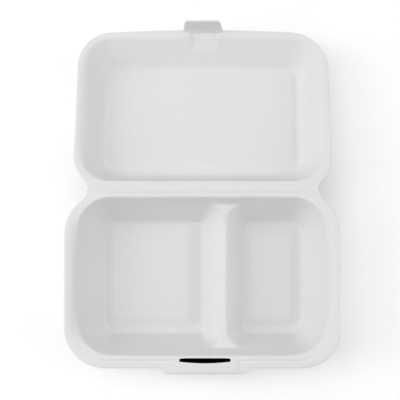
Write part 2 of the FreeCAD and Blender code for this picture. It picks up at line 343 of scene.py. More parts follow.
def rounded_distance(x, y, bounds, radius):
    """Distance outside a rectangle with round corners, negative inside."""
    left, right, front, back = bounds
    across = np.maximum(left - x, x - right) + radius
    along = np.maximum(front - y, y - back) + radius
    outside = np.hypot(np.maximum(across, 0.0), np.maximum(along, 0.0))
    return np.where((across > 0) & (along > 0), outside, np.maximum(across, along)) - radius


def bowl_height(x, y, floor, runs, foot_radius, mouth_radius, depth):
    """Height above the floor of tapered walls whose round corners widen upwards.

    floor holds the floor's left, right, front and back; runs holds how far each wall leans over
    the depth. The radii are pairs, for the corners on the left and on the right. A corner is part
    of a leaning cone, and its height at a point is the lower root of a quadratic.
    """
    left, right, front, back = floor
    on_left = x < (left + right) / 2
    on_front = y < (front + back) / 2
    across = np.where(on_left, left - x, x - right)
    along = np.where(on_front, front - y, y - back)
    lean_across = np.where(on_left, runs[0], runs[1]) / depth
    lean_along = np.where(on_front, runs[2], runs[3]) / depth
    foot = np.where(on_left, foot_radius[0], foot_radius[1])
    widening = (np.where(on_left, mouth_radius[0], mouth_radius[1]) - foot) / depth
    planes = np.maximum(across / lean_across, along / lean_along)
    shift_across = lean_across - widening
    shift_along = lean_along - widening
    a = across + foot
    b = along + foot
    square = shift_across ** 2 + shift_along ** 2 - widening ** 2
    linear = a * shift_across + b * shift_along + foot * widening
    constant = a ** 2 + b ** 2 - foot ** 2
    root = linear - np.sqrt(np.maximum(linear ** 2 - square * constant, 0.0))
    corner = root / square
    in_corner = (a - corner * shift_across > 0) & (b - corner * shift_along > 0)
    return np.where(in_corner & (a > 0) & (b > 0), corner, planes)


def edge_drop(inset):
    """How far the sheet's face falls away at its half-round edge."""
    radius = SHEET / 2
    inside = np.clip(radius - inset, 0.0, radius)
    return radius - np.sqrt(radius ** 2 - inside ** 2)


def ring_points(bounds, radii):
    """Points in order round a rectangle with round corners, the same number for every ring."""
    left, right, front, back = bounds
    corners = (
        (right - radii["front_right"], front + radii["front_right"], radii["front_right"], -90.0),
        (right - radii["back_right"], back - radii["back_right"], radii["back_right"], 0.0),
        (left + radii["back_left"], back - radii["back_left"], radii["back_left"], 90.0),
        (left + radii["front_left"], front + radii["front_left"], radii["front_left"], 180.0),
    )
    arcs = []
    for x, y, radius, start in corners:
        angles = np.radians(start + 90.0 * np.arange(LINES_CORNER + 1) / LINES_CORNER)
        arcs.append(np.stack([x + radius * np.cos(angles), y + radius * np.sin(angles)], axis=1))
    points = []
    for arc, following, count in zip(
        arcs, arcs[1:] + arcs[:1], (LINES_ALONG, LINES_ACROSS, LINES_ALONG, LINES_ACROSS)
    ):
        shares = (np.arange(count) / count)[:, None]
        points.append(arc[:-1])
        points.append(arc[-1] + (following[0] - arc[-1]) * shares)
    return np.concatenate(points)


def ring_sides(ring):
    """The front, back, left and right of a ring, which meet in the middle of its corners."""
    across = LINES_ACROSS + LINES_CORNER
    along = LINES_ALONG + LINES_CORNER
    loop = np.roll(ring, -(LINES_CORNER // 2), axis=0)
    right = loop[:along + 1]
    back = loop[along:along + across + 1][::-1]
    left = loop[along + across:2 * along + across + 1][::-1]
    front = np.concatenate([loop[2 * along + across:], loop[:1]])
    return front, back, left, right


def core_grid(ring):
    """A grid of points that fills the innermost ring, row by row from its front left."""
    front, back, left, right = ring_sides(ring)
    u = np.linspace(0.0, 1.0, len(front))[None, :, None]
    v = np.linspace(0.0, 1.0, len(left))[:, None, None]
    sides = (1 - v) * front[None] + v * back[None] + (1 - u) * left[:, None] + u * right[:, None]
    corners = (
        (1 - u) * (1 - v) * front[0]
        + u * (1 - v) * front[-1]
        + (1 - u) * v * back[0]
        + u * v * back[-1]
    )
    return sides - corners


def grid_quads(number):
    """Quads over a grid of point numbers."""
    quads = np.stack([number[:-1, :-1], number[:-1, 1:], number[1:, 1:], number[1:, :-1]], axis=2)
    return quads.reshape(-1, 4)


def surface_faces(ring_count, ring_size):
    """Quads between the rings and over the core grid."""
    faces = []
    step = np.arange(ring_size)
    following = (step + 1) % ring_size
    for ring in range(ring_count - 1):
        outer = ring * ring_size
        inner = outer + ring_size
        faces.append(np.stack([outer + step, outer + following, inner + following, inner + step], axis=1))
    front, back, left, right = ring_sides(step + (ring_count - 1) * ring_size)
    number = np.full((len(left), len(front)), -1)
    number[:, -1] = right
    number[-1, :] = back
    number[:, 0] = left
    number[0, :] = front
    inside = number < 0
    number[inside] = ring_count * ring_size + np.arange(inside.sum())
    faces.append(grid_quads(number))
    return np.concatenate(faces)


def surface_points(rings, insets, height, shift, under):
    """Points of one face of the sheet: rings of given insets, then the core grid."""
    inside = core_grid(rings[-1])[1:-1, 1:-1].reshape(-1, 2)
    plan = np.concatenate([*rings, inside])
    inset = np.concatenate([np.repeat(insets, len(rings[0])), np.full(len(inside), insets[-1])])
    x = plan[:, 0]
    y = plan[:, 1] + shift(x, plan[:, 1], inset)
    return np.stack([x, y, height(x, y, inset, under)], axis=1)


def outline_stack(outlines, shares):
    """Rings between the given outlines; share 0 is the first of them, 1 the second, and so on."""
    rings = []
    for share in shares:
        index = min(int(share), len(outlines) - 2)
        part = share - index
        rings.append(outlines[index] * (1 - part) + outlines[index + 1] * part)
    return rings


def inset_bounds(bounds, inset, extra=0.0):
    """Bounds drawn in by an inset for each side, and by an extra one on all sides."""
    return (
        bounds[0] + inset["left"] + extra,
        bounds[1] - inset["right"] - extra,
        bounds[2] + inset["front"] + extra,
        bounds[3] - inset["back"] - extra,
    )


def even_corners(radius):
    """The same radius for all four corners."""
    return {name: radius for name in TRAY_CORNERS}


def wall_runs(floor, rim):
    """How far the left, right, front and back walls lean between rim and floor."""
    return tuple(floor[side] - rim[side] for side in ("left", "right", "front", "back"))


def make_mesh(name, points, faces):
    """A smooth-shaded object from points in millimetres."""
    mesh = bpy.data.meshes.new(name)
    whole_faces = [[int(number) for number in face] for face in faces]
    mesh.from_pydata((np.asarray(points) * MM).tolist(), [], whole_faces)
    mesh.validate()
    mesh.polygons.foreach_set("use_smooth", [True] * len(mesh.polygons))
    mesh.update()
    piece = bpy.data.objects.new(name, mesh)
    bpy.context.scene.collection.objects.link(piece)
    return piece


def build_sheet(name, make_rings, ring_spans, height, shift, place):
    """A closed sheet between an upper and a lower face, which share their outermost ring."""
    upper_rings, upper_insets = make_rings(0.0, ring_spans[0])
    lower_rings, lower_insets = make_rings(SHEET, ring_spans[1])
    upper = surface_points(upper_rings, upper_insets, height, shift, False)
    lower = surface_points(lower_rings, lower_insets, height, shift, True)
    ring_size = len(upper_rings[0])
    lower_number = np.arange(len(lower)) + len(upper) - ring_size
    lower_number[:ring_size] = np.arange(ring_size)
    upper_faces = surface_faces(len(upper_rings), ring_size)
    lower_faces = lower_number[surface_faces(len(lower_rings), ring_size)][:, ::-1]
    points = place(np.concatenate([upper, lower[ring_size:]]))
    return make_mesh(name, points, np.concatenate([upper_faces, lower_faces]))


def build_slab(name, first, second):
    """A closed slab between two grids of points that face each other."""
    rows, columns = first.shape[:2]
    points = np.concatenate([first.reshape(-1, 3), second.reshape(-1, 3)])
    number = np.arange(rows * columns).reshape(rows, columns)
    border = np.concatenate([number[0, :], number[1:, -1], number[-1, -2::-1], number[-2:0:-1, 0]])
    across = border + rows * columns
    faces = np.concatenate([
        grid_quads(number),
        grid_quads(number + rows * columns)[:, (0, 3, 2, 1)],
        np.stack([border, across, np.roll(across, -1), np.roll(border, -1)], axis=1),
    ])
    return make_mesh(name, points, faces)


# The tray

TRAY_BOUNDS = (-TRAY_WIDTH / 2, TRAY_WIDTH / 2, -TRAY_LENGTH / 2, TRAY_LENGTH / 2)


def tray_bowls(x, y, under):
    """Heights of the outer walls and of the two compartments, all above the floor."""
    grow = SHEET if under else 0.0
    floor = inset_bounds(TRAY_BOUNDS, TRAY_FLOOR, -grow)
    _, _, front_run, back_run = wall_runs(TRAY_FLOOR, TRAY_RIM)
    turn_start, turn_end = (TRAY_BOUNDS[3] - distance for distance in TRAY_RIM_TURN)
    turn = smooth_step(turn_start, turn_end, np.abs(y))
    side_rim = TRAY_SIDE_RIM + (TRAY_CORNER_RIM - TRAY_SIDE_RIM) * turn
    left_run = TRAY_FLOOR["left"] - side_rim
    right_run = TRAY_FLOOR["right"] - side_rim
    foot = TRAY_FLOOR_CORNER + grow
    mouth = TRAY_MOUTH_CORNER + grow
    rise = TRAY_DEPTH - size("divider_below_rim")
    left_lean = (DIVIDER_CREST_LEFT - DIVIDER_LEFT_FOOT) / rise
    right_lean = (DIVIDER_RIGHT_FOOT - DIVIDER_CREST_RIGHT) / rise
    left_foot = DIVIDER_LEFT_FOOT + grow * (math.hypot(1, left_lean) - left_lean)
    right_foot = DIVIDER_RIGHT_FOOT - grow * (math.hypot(1, right_lean) - right_lean)
    end = max(DIVIDER_END_RADIUS - grow, DIVIDER_END_LEAST)
    end_top = end + DIVIDER_END_SPREAD * TRAY_DEPTH
    runs = (left_run, right_run, front_run, back_run)
    outer = bowl_height(x, y, floor, runs, (foot, foot), (mouth, mouth), TRAY_DEPTH)
    left = bowl_height(
        x,
        y,
        (floor[0], left_foot, floor[2], floor[3]),
        (left_run, left_lean * TRAY_DEPTH, front_run, back_run),
        (foot, end),
        (mouth, end_top),
        TRAY_DEPTH,
    )
    right = bowl_height(
        x,
        y,
        (right_foot, floor[1], floor[2], floor[3]),
        (right_lean * TRAY_DEPTH, right_run, front_run, back_run),
        (end, foot),
        (end_top, mouth),
        TRAY_DEPTH,
    )
    return outer, left, right


def panel_share(x, y, bounds, slopes, blend):
    """Share of a raised panel's rise: 1 on top, falling to 0 over a slope of its own on each side."""
    left, right, front, back = bounds
    across = np.maximum((left - x) / slopes["left"], (x - right) / slopes["right"])
    along = np.maximum((front - y) / slopes["front"], (y - back) / slopes["back"])
    away = np.where((across > 0) & (along > 0), np.hypot(across, along), np.maximum(across, along))
    share = smooth_min(1.0 - away, np.ones_like(away), blend)
    return smooth_max(share, np.zeros_like(share), blend)


def side_roll(x, y, bounds, corner, rim_width, drop):
    """How far the rim curves down towards the inside along the left and right edges."""
    inset = -rounded_distance(x, y, bounds, corner)
    inwards = np.clip((inset - ROLL_START) / (rim_width - ROLL_START), 0.0, ROLL_LIMIT)
    across = [bounds[1] - share * corner for share in ROLL_ACROSS]
    along = [bounds[3] - share * corner for share in ROLL_ALONG]
    near_side = smooth_step(*across, np.abs(x))
    in_corner = smooth_step(*along, np.abs(y))
    return drop * inwards ** 2 * near_side * (1 - ROLL_LOST_IN_CORNER * in_corner)


def groove_relief(x, y):
    """The shallow groove that follows the tray's rim, deepest in front and behind, and its bead."""
    away = rounded_distance(x, y, inset_bounds(TRAY_BOUNDS, GROOVE_INSET), GROOVE_CORNER)
    front = 1 - smooth_step(*GROOVE_FRONT, y)
    front = front * (1 - GROOVE_LOST_AT_ENDS * smooth_step(*GROOVE_FRONT_ENDS, np.abs(x)))
    back_ends = [NECK_HALF - distance for distance in GROOVE_BACK_ENDS]
    back = smooth_step(*GROOVE_BACK, y) * (1 - smooth_step(*back_ends, np.abs(x - NECK_X)))
    ends = np.maximum(front, back)
    depth = GROOVE_DEPTH_AT_SIDES + (GROOVE_DEPTH - GROOVE_DEPTH_AT_SIDES) * ends
    groove = -depth * np.exp(-(away / GROOVE_HALF_WIDTH) ** 2)
    bead = BEAD_RISE * ends * np.exp(-((away + BEAD_BEHIND_GROOVE) / BEAD_HALF_WIDTH) ** 2)
    return groove + bead


def pad_shape(x, from_front):
    """The pad round the slit: where it is, from 0 to 1, and how high it stands there."""
    side = np.abs(x - LATCH_PAD_X) - LATCH_PAD_HALF
    pad = 1 - smooth_step(-LATCH_PAD_SIDE_EASE, LATCH_PAD_SIDE_EASE, side)
    pad = pad * smooth_window(from_front, LATCH_PAD_SPAN)
    slit_front = SLIT_BEHIND_EDGE - size("slit_width") / 2
    behind = smooth_step(slit_front - LATCH_PAD_STEP, slit_front, from_front)
    return pad, LATCH_PAD_RISE + (LATCH_PAD_RISE_BEHIND - LATCH_PAD_RISE) * behind


def rim_relief(x, y):
    """The rim's own relief: its rolled sides, falling front lip, groove and bead, and the slit's pad."""
    from_front = y - TRAY_BOUNDS[2]
    pad, pad_rise = pad_shape(x, from_front)
    lip = -FRONT_LIP_FALL * np.maximum(GROOVE_INSET["front"] - from_front, 0.0)
    roll = side_roll(x, y, TRAY_BOUNDS, TRAY_CORNERS["front_left"], TRAY_RIM["left"], TRAY_SIDE_ROLL)
    return groove_relief(x, y) * (1 - pad) - roll + lip + pad_rise * pad


def divider_end_rise(y):
    """How far the divider's crest rises towards the front and the back wall."""
    _, _, front, back = inset_bounds(TRAY_BOUNDS, TRAY_RIM)
    from_wall = np.minimum(y - front, back - y)
    near_wall = 1 - smooth_step(DIVIDER_END_START, DIVIDER_END_START + DIVIDER_END_REACH, from_wall)
    return np.where(y < 0, DIVIDER_END_RISE["front"], DIVIDER_END_RISE["back"]) * near_wall


def tray_height(x, y, inset, under):
    """Height of the tray's upper or lower face."""
    low = 0.0 if under else SHEET
    rim = RIM_TOP - SHEET if under else RIM_TOP
    outer, left, right = tray_bowls(x, y, under)
    crest = rim - size("divider_below_rim") - low + divider_end_rise(y)
    near_divider = smooth_window(x, DIVIDER_MIDDLE)
    foot_blend = TRAY_FLOOR_BLEND + (DIVIDER_FOOT_BLEND - TRAY_FLOOR_BLEND) * near_divider
    left = smooth_max(left, np.zeros_like(left), foot_blend)
    right = smooth_max(right, np.zeros_like(right), foot_blend)
    top_blend = DIVIDER_TOP_BLEND * smooth_window(x, DIVIDER_SURROUNDINGS)
    compartments = smooth_min(left, right, DIVIDER_CREST_BLEND)
    height = smooth_min(compartments, smooth_max(outer, crest, DIVIDER_WALL_BLEND), top_blend) + low
    for sides, slopes in ((LEFT_PANEL, LEFT_PANEL_SLOPES), (RIGHT_PANEL, RIGHT_PANEL_SLOPES)):
        share = panel_share(x, y, (*sides, PANEL_FRONT, PANEL_BACK), slopes, PANEL_BLEND)
        on_floor = 1 - smooth_step(*PANEL_FADE_UP_WALL, height - low)
        height = height + size("panel_rise") * share * on_floor
    relief = rim_relief(x, y)
    level = rim + (np.minimum(relief, 0.0) if under else relief)
    height = smooth_min(height, level, TRAY_RIM_BLEND)
    return height + edge_drop(inset) if under else height - edge_drop(inset)


def near_edge(inset):
    """1 at the sheet's edge, falling evenly to 0 where it no longer follows the edge."""
    return np.clip(1 - inset / EDGE_REACH, 0.0, 1.0)


def neck_pull(x, short_of_crease, inset):
    """How far the edge is drawn out to its crease where the hinge strip joins it."""
    beyond = np.maximum(np.abs(x - NECK_X) - NECK_HALF, 0.0)
    pull = np.maximum(short_of_crease - NECK_FALL * beyond, 0.0) * near_edge(inset)
    return np.where(beyond < NECK_END, pull, 0.0)


def tray_shift(x, y, inset):
    """Moves the edge points out for the latch flange and for the hinge's neck."""
    from_end = LATCH_BACK_HALF - np.abs(x - LATCH_X)
    reach = np.clip(from_end / (LATCH_BACK_HALF - LATCH_FRONT_HALF), 0.0, 1.0)
    outermost = np.clip((LATCH_FADE[1] - inset) / (LATCH_FADE[1] - LATCH_FADE[0]), 0.0, 1.0)
    flange = np.where(y < 0, -LATCH_REACH * reach * outermost, 0.0)
    neck = neck_pull(x, TRAY_BOUNDS[3] - (y + inset), inset)
    neck = np.where(y > TRAY_BOUNDS[3] - NECK_ZONE, neck, 0.0)
    return flange + neck


def bowl_rings(bounds, sides, corners, grow, spans):
    """Rings from the edge over the rim, down the walls and onto the floor, and their insets.

    sides holds the insets of the rim's inner edge and of the floor, and how much further in the core
    lies; corners holds the radii of the edge, of the rim's inner edge, of the floor and of the core.
    """
    rim, floor, core = sides
    outlines = [
        ring_points(bounds, corners[0]),
        ring_points(inset_bounds(bounds, rim, -grow), even_corners(corners[1] + grow)),
        ring_points(inset_bounds(bounds, floor, -grow), even_corners(corners[2] + grow)),
        ring_points(inset_bounds(bounds, floor, core - grow), even_corners(corners[3] + grow)),
    ]
    rim_inset = rim["left"] - grow
    shares = [np.array(spans["edge"]) / rim_inset]
    for end, count in spans["stretches"]:
        shares.append(np.linspace(shares[-1][-1], end, count + 1)[1:])
    shares = np.concatenate(shares)
    return outline_stack(outlines, shares), np.minimum(shares, 1.0) * rim_inset


def tray_rings(grow, spans):
    """Rings of the tray from its edge to the compartments' floor."""
    sides = (TRAY_RIM, TRAY_FLOOR, TRAY_CORE_INSET)
    corners = (TRAY_CORNERS, TRAY_MOUTH_CORNER, TRAY_FLOOR_CORNER, TRAY_CORE_CORNER)
    return bowl_rings(TRAY_BOUNDS, sides, corners, grow, spans)


def slit_outline(grow):
    """The slit's outline, nearly straight behind and bowed in front, widened all round by grow."""
    width = size("slit_width")
    back = TRAY_BOUNDS[2] + SLIT_BEHIND_EDGE + width / 2 + grow
    front_end = back - width + SLIT_BOW - 2 * grow
    half = size("slit_length") / 2 + grow
    steps = np.linspace(-1.0, 1.0, SLIT_LINES)
    bowed = [(SLIT_X + half * s, front_end - SLIT_BOW * (1 - s * s)) for s in steps]
    straight = [(SLIT_X + half * s, back - SLIT_END_TURN * s ** 8) for s in steps[::-1]]
    return bowed + straight


def stacked_solid(name, levels):
    """A closed solid through outlines of the same number of points, each at its own height."""
    count = len(levels[0][0])
    points = [(x, y, height) for outline, height in levels for x, y in outline]
    faces = []
    for low in range(0, len(points) - count, count):
        for start in range(count):
            end = (start + 1) % count
            faces.append((low + start, low + end, low + count + end, low + count + start))
    faces.append(tuple(range(count))[::-1])
    faces.append(tuple(range(len(points) - count, len(points))))
    return make_mesh(name, points, faces)


def apply_modifiers(piece):
    """Makes the piece's modified mesh its own."""
    bpy.context.view_layer.update()
    evaluated = piece.evaluated_get(bpy.context.evaluated_depsgraph_get())
    mesh = bpy.data.meshes.new_from_object(evaluated)
    piece.modifiers.clear()
    piece.data = mesh


def cut_slit(tray):
    """Cuts the tongue's slit through the latch flange."""
    outline = slit_outline(0.0)
    cutter = stacked_solid("slit_cutter", [(outline, RIM_TOP - 4 * SHEET), (outline, RIM_TOP + 2 * SHEET)])
    whole = len(tray.data.polygons)
    cut = tray.modifiers.new("slit", "BOOLEAN")
    cut.operation = "DIFFERENCE"
    cut.solver = "EXACT"
    cut.object = cutter
    apply_modifiers(tray)
    bpy.data.objects.remove(cutter)
    if len(tray.data.polygons) == whole:
        raise RuntimeError("the slit was not cut through the tray's flange")


def build_slit_pocket():
    """The pocket under the slit that takes the tongue; its inside is painted near-black, as painted shade
    for the deep shade seen through the slit.
    """
    floor = RIM_TOP - SLIT_POCKET_DEPTH
    outside = slit_outline(SLIT_POCKET_WALL)
    inside = slit_outline(-SLIT_LINING)
    levels = [
        (outside, floor - SLIT_POCKET_WALL),
        (outside, RIM_TOP - SLIT_POCKET_TOP),
        (inside, RIM_TOP + SLIT_LINING_RISE),
        (inside, floor),
    ]
    pocket = finished(stacked_solid("slit_pocket", levels))
    pocket.data.materials.append(plain_material("painted_slit_shade", PAINTED_SLIT_SHADE_COLOR))
    # The faces inside the pocket get the near-black painted shade
    first_inside = 2 * len(inside)
    for face in pocket.data.polygons:
        if min(face.vertices) >= first_inside:
            face.material_index = 1
    pocket.data.set_sharp_from_angle(angle=SHARP_ON_POCKET)
    return pocket


def build_tray():
    """The tray: rim, walls, two compartments, divider, floor panels, latch flange and slit."""
    ring_spans = (TRAY_UPPER_RINGS, TRAY_LOWER_RINGS)
    tray = build_sheet("tray_foam", tray_rings, ring_spans, tray_height, tray_shift, lambda points: points)
    cut_slit(tray)
    tray.data.set_sharp_from_angle(angle=SHARP_ON_TRAY)
    return tray


# The lid

LID_BOUNDS = (-LID_WIDTH / 2, LID_WIDTH / 2, 0.0, LID_LENGTH)
LID_CENTRED = (-LID_WIDTH / 2, LID_WIDTH / 2, -LID_LENGTH / 2, LID_LENGTH / 2)


def fold_back(points):
    """Turns points of the flat lid to where the open lid lies."""
    y = points[..., 1] + HINGE_BAND / 2
    z = points[..., 2] + RIM_TOP - AXIS_Z
    out = AXIS_Y + y * math.cos(LID_TILT) + z * math.sin(LID_TILT)
    up = AXIS_Z - y * math.sin(LID_TILT) + z * math.cos(LID_TILT)
    return np.stack([points[..., 0], out, up], axis=-1)


def pocket_height(x, y, under):
    """Surface of the finger pocket: a slanted face from the tongue down to the wall, and two sides."""
    grow = SHEET if under else 0.0
    top = LID_LENGTH + LID_FAR_BOW - TONGUE_BEHIND_EDGE - TONGUE_THICKNESS
    top = top - POCKET_BEHIND_ROOT * TONGUE_ROOT
    wall_lean = (LID_FLOOR["back"] - LID_RIM["back"]) / LID_DEPTH
    foot = LID_LENGTH - LID_RIM["back"] - wall_lean * POCKET_DEPTH
    face_lean = (top - foot) / POCKET_DEPTH
    far_face = (y - top - grow * (math.hypot(1, face_lean) - face_lean)) / face_lean
    side_lean = (POCKET_MOUTH_HALF - POCKET_FOOT_HALF) / POCKET_DEPTH
    side_face = (np.abs(x) - POCKET_MOUTH_HALF - grow) / side_lean
    return smooth_max(far_face, side_face, np.where(x < 0, POCKET_LEFT_BLEND, POCKET_RIGHT_BLEND))


def lid_height(x, y, inset, under):
    """Height of the flat lid's upper or lower face."""
    grow = SHEET if under else 0.0
    rim = -SHEET if under else 0.0
    floor = inset_bounds(LID_BOUNDS, LID_FLOOR, -grow)
    foot = LID_FLOOR_CORNER + grow
    mouth = LID_MOUTH_CORNER + grow
    runs = wall_runs(LID_FLOOR, LID_RIM)
    height = bowl_height(x, y, floor, runs, (foot, foot), (mouth, mouth), LID_DEPTH)
    hollow = LID_NEAR_HOLLOW * (1 - smooth_step(*LID_HOLLOW_ENDS, np.abs(x)))
    hollow = np.where(y < LID_LENGTH / 2, hollow, 0.0)
    height = height - hollow * height * np.clip(1 - height / LID_DEPTH, 0.0, 1.0)
    height = smooth_max(height, np.zeros_like(height), LID_FLOOR_BLEND)
    panel = inset_bounds(LID_BOUNDS, LID_FLOOR, LID_PANEL_INSET)
    share = panel_share(x, y, panel, LID_PANEL_SLOPES, LID_PANEL_BLEND)
    height = height + size("lid_panel_rise") * share - LID_DEPTH + rim
    pocket = np.where(y > LID_LENGTH - LID_FLOOR["back"], pocket_height(x, y, under), LID_DEPTH)
    height = smooth_min(height, pocket + rim, POCKET_RIM_BLEND)
    corner = LID_CORNERS["back_left"]
    roll = side_roll(x, y - LID_LENGTH / 2, LID_CENTRED, corner, LID_RIM["left"], LID_SIDE_ROLL)
    height = smooth_min(height, rim - roll, LID_RIM_BLEND)
    return height + edge_drop(inset) if under else height - edge_drop(inset)


def lid_shift(x, y, inset):
    """Bows the far edge out and draws the near edge to the hinge's neck."""
    straight = LID_BOUNDS[1] - LID_CORNERS["back_left"]
    bow = LID_FAR_BOW * np.clip(1 - (x / straight) ** 2, 0.0, 1.0) * near_edge(inset)
    bow = np.where(y > LID_LENGTH / 2, bow, 0.0)
    neck = np.where(y < NECK_ZONE, neck_pull(x, y - inset, inset), 0.0)
    return bow - neck


def lid_rings(grow, spans):
    """Rings of the lid from its edge to the panel."""
    sides = (LID_RIM, LID_FLOOR, LID_CORE_INSET)
    corners = (LID_CORNERS, LID_MOUTH_CORNER, LID_FLOOR_CORNER, LID_CORE_CORNER)
    return bowl_rings(LID_BOUNDS, sides, corners, grow, spans)


def build_lid():
    """The lid: rim, walls, gutter, raised top panel and finger pocket, folded back."""
    ring_spans = (LID_UPPER_RINGS, LID_LOWER_RINGS)
    return build_sheet("lid_foam", lid_rings, ring_spans, lid_height, lid_shift, fold_back)


def tongue_half_width(up):
    """Half width of the tongue at a height above the lid's rim."""
    length = size("tongue_length")
    half = TONGUE_ROOT_HALF + (TONGUE_TIP_HALF - TONGUE_ROOT_HALF) * up / length
    into_tip = np.clip(up - (length - TONGUE_TIP_CORNER), 0.0, TONGUE_TIP_CORNER)
    corner = TONGUE_TIP_CORNER - np.sqrt(TONGUE_TIP_CORNER ** 2 - into_tip ** 2)
    return half - TONGUE_CORNER_SHARE * corner


def tongue_half_thickness(up, across):
    """Half thickness of the tongue, which is rounded off at its sides and its tip."""
    half = TONGUE_THICKNESS / 2
    side = np.sqrt(np.clip(1 - np.abs(across) ** TONGUE_EDGE_POWER, 0.0, 1.0))
    into_tip = np.clip((up - size("tongue_length") + half) / half, 0.0, 1.0)
    tip = np.sqrt(np.clip(1 - into_tip ** 2, 0.0, 1.0))
    return half * np.maximum(side * tip, TONGUE_THINNEST)


def build_tongue():
    """The tongue that stands on the lid's far edge and latches in the tray's slit."""
    length = size("tongue_length")
    foot_rows, stem_rows, tip_rows = TONGUE_ROWS
    rows = np.concatenate([
        np.linspace(-TONGUE_SUNK, TONGUE_FOOT, foot_rows),
        np.linspace(TONGUE_STEM_START, length - TONGUE_TIP_CORNER, stem_rows),
        length - TONGUE_TIP_CORNER * np.cos(np.linspace(TONGUE_TIP_START, math.pi / 2, tip_rows)),
    ])
    columns = np.sin(np.linspace(-math.pi / 2, math.pi / 2, TONGUE_COLUMNS))
    up, across = np.meshgrid(rows, columns, indexing="ij")
    x = across * tongue_half_width(up)
    half = tongue_half_thickness(up, across)
    root = TONGUE_ROOT * np.exp(-np.maximum(up, 0.0) / TONGUE_THICKNESS)
    middle = LID_LENGTH + LID_FAR_BOW - TONGUE_BEHIND_EDGE - TONGUE_THICKNESS / 2
    inner = np.stack([x, middle - half - root, up], axis=2)
    outer = np.stack([x, middle + half, up], axis=2)
    return build_slab("tongue_foam", fold_back(inner), fold_back(outer))


# The hinge


def build_hinge():
    """The thin strip between tray and lid, creased beside the tray."""
    crease = TRAY_BOUNDS[3]
    rows = np.linspace(crease - HINGE_OVERLAP, crease + HINGE_BAND + HINGE_OVERLAP, HINGE_ROWS)
    y, across = np.meshgrid(rows, np.linspace(-1.0, 1.0, HINGE_COLUMNS), indexing="ij")
    from_middle = np.abs(y - AXIS_Y) / (HINGE_BAND / 2)
    half = NECK_HALF - HINGE_WAIST * np.clip(1 - from_middle ** 2, 0.0, 1.0)
    x = NECK_X + across * half
    crease_ends = [NECK_HALF - distance for distance in CREASE_ENDS]
    dip = CREASE_DEPTH * np.exp(-((y - crease) / CREASE_HALF_WIDTH) ** 2)
    dip = dip * (1 - smooth_step(*crease_ends, np.abs(x - NECK_X)))
    tuck = HINGE_TUCK * np.maximum(from_middle - 1.0, 0.0)
    upper = np.stack([x, y, RIM_TOP - HINGE_SUNK - dip - tuck], axis=2)
    lower = np.stack([x, y, RIM_TOP - HINGE_UNDERSIDE + tuck], axis=2)
    return build_slab("hinge_foam", upper, lower)


# The foam's finish


class Term:
    """A socket that can stand in a formula: each operation adds its Math node."""

    def __init__(self, paint, socket):
        self.paint = paint
        self.socket = socket

    def joined(self, operation, first, second):
        """A Math node on two values."""
        node = self.paint.node("ShaderNodeMath", {"operation": operation}, {0: first, 1: second})
        return Term(self.paint, node.outputs[0])

    def __add__(self, other):
        return self.joined("ADD", self, other)

    def __radd__(self, other):
        return self.joined("ADD", other, self)

    def __sub__(self, other):
        return self.joined("SUBTRACT", self, other)

    def __rsub__(self, other):
        return self.joined("SUBTRACT", other, self)

    def __mul__(self, other):
        return self.joined("MULTIPLY", self, other)

    def __rmul__(self, other):
        return self.joined("MULTIPLY", other, self)


class Paint:
    """A material's node tree, built from formulas."""

    def __init__(self, name):
        self.material = bpy.data.materials.new(name)
        self.material.use_nodes = True
        self.tree = self.material.node_tree
        self.tree.nodes.clear()

    def node(self, kind, options, sockets):
        """A node of one kind: its options are set first, then its sockets' values or links."""
        node = self.tree.nodes.new(kind)
        for name, value in options.items():
            setattr(node, name, value)
        for name, value in sockets.items():
            value = value.socket if isinstance(value, Term) else value
            if isinstance(value, bpy.types.NodeSocket):
                self.tree.links.new(value, node.inputs[name])
            else:
                node.inputs[name].default_value = value
        return node

    def value(self, kind, options, sockets, output):
        """One output of a new node, for use in a formula."""
        return Term(self, self.node(kind, options, sockets).outputs[output])


def foam_finish():
    """White expanded foam: a matt skin of tiny cells with slow unevenness."""
    chosen = settings()
    paint = Paint("expanded_foam")
    place = paint.value("ShaderNodeTexCoord", {}, {}, "Object")
    cells = paint.value(
        "ShaderNodeTexVoronoi",
        {"feature": "F1", "distance": "EUCLIDEAN"},
        {"Vector": place, "Scale": 1 / chosen.cell_size, "Randomness": 1.0},
        "Distance",
    )
    mottle = paint.value(
        "ShaderNodeTexNoise",
        {},
        {"Vector": place, "Scale": MOTTLE_SCALE, "Detail": 3.0, "Roughness": 0.55},
        "Fac",
    )
    sway = paint.value(
        "ShaderNodeTexNoise",
        {},
        {"Vector": place, "Scale": SWAY_SCALE, "Detail": 2.0, "Roughness": 0.5},
        "Fac",
    )
    shade = (mottle - 0.5) * MOTTLE_IN_COLOR + (sway - 0.5) * SWAY_IN_COLOR + 0.5
    color = paint.node(
        "ShaderNodeMix",
        {"data_type": "RGBA"},
        {0: shade, 6: (*chosen.foam_shade, 1.0), 7: (*chosen.foam_light, 1.0)},
    ).outputs[2]
    relief = cells * CELLS_IN_RELIEF + mottle * MOTTLE_IN_RELIEF + sway * SWAY_IN_RELIEF
    bump = paint.node(
        "ShaderNodeBump", {}, {"Strength": 0.35, "Distance": RELIEF_DEPTH, "Height": relief}
    ).outputs[0]
    roughness = ROUGHNESS + (mottle - 0.5) * MOTTLE_IN_ROUGHNESS
    shader = paint.node(
        "ShaderNodeBsdfPrincipled",
        {},
        {
            "Base Color": color,
            "Roughness": roughness,
            "Normal": bump,
            "Specular IOR Level": 0.1,
            "Subsurface Weight": 0.12,
            "Subsurface Radius": (1.0, 1.0, 1.0),
            "Subsurface Scale": 0.002,
        },
    )
    paint.node("ShaderNodeOutputMaterial", {}, {"Surface": shader.outputs[0]})
    return paint.material


def finished(piece):
    """Gives a piece the foam's finish."""
    material = bpy.data.materials.get("expanded_foam") or foam_finish()
    piece.data.materials.clear()
    piece.data.materials.append(material)
    return piece


# The stage


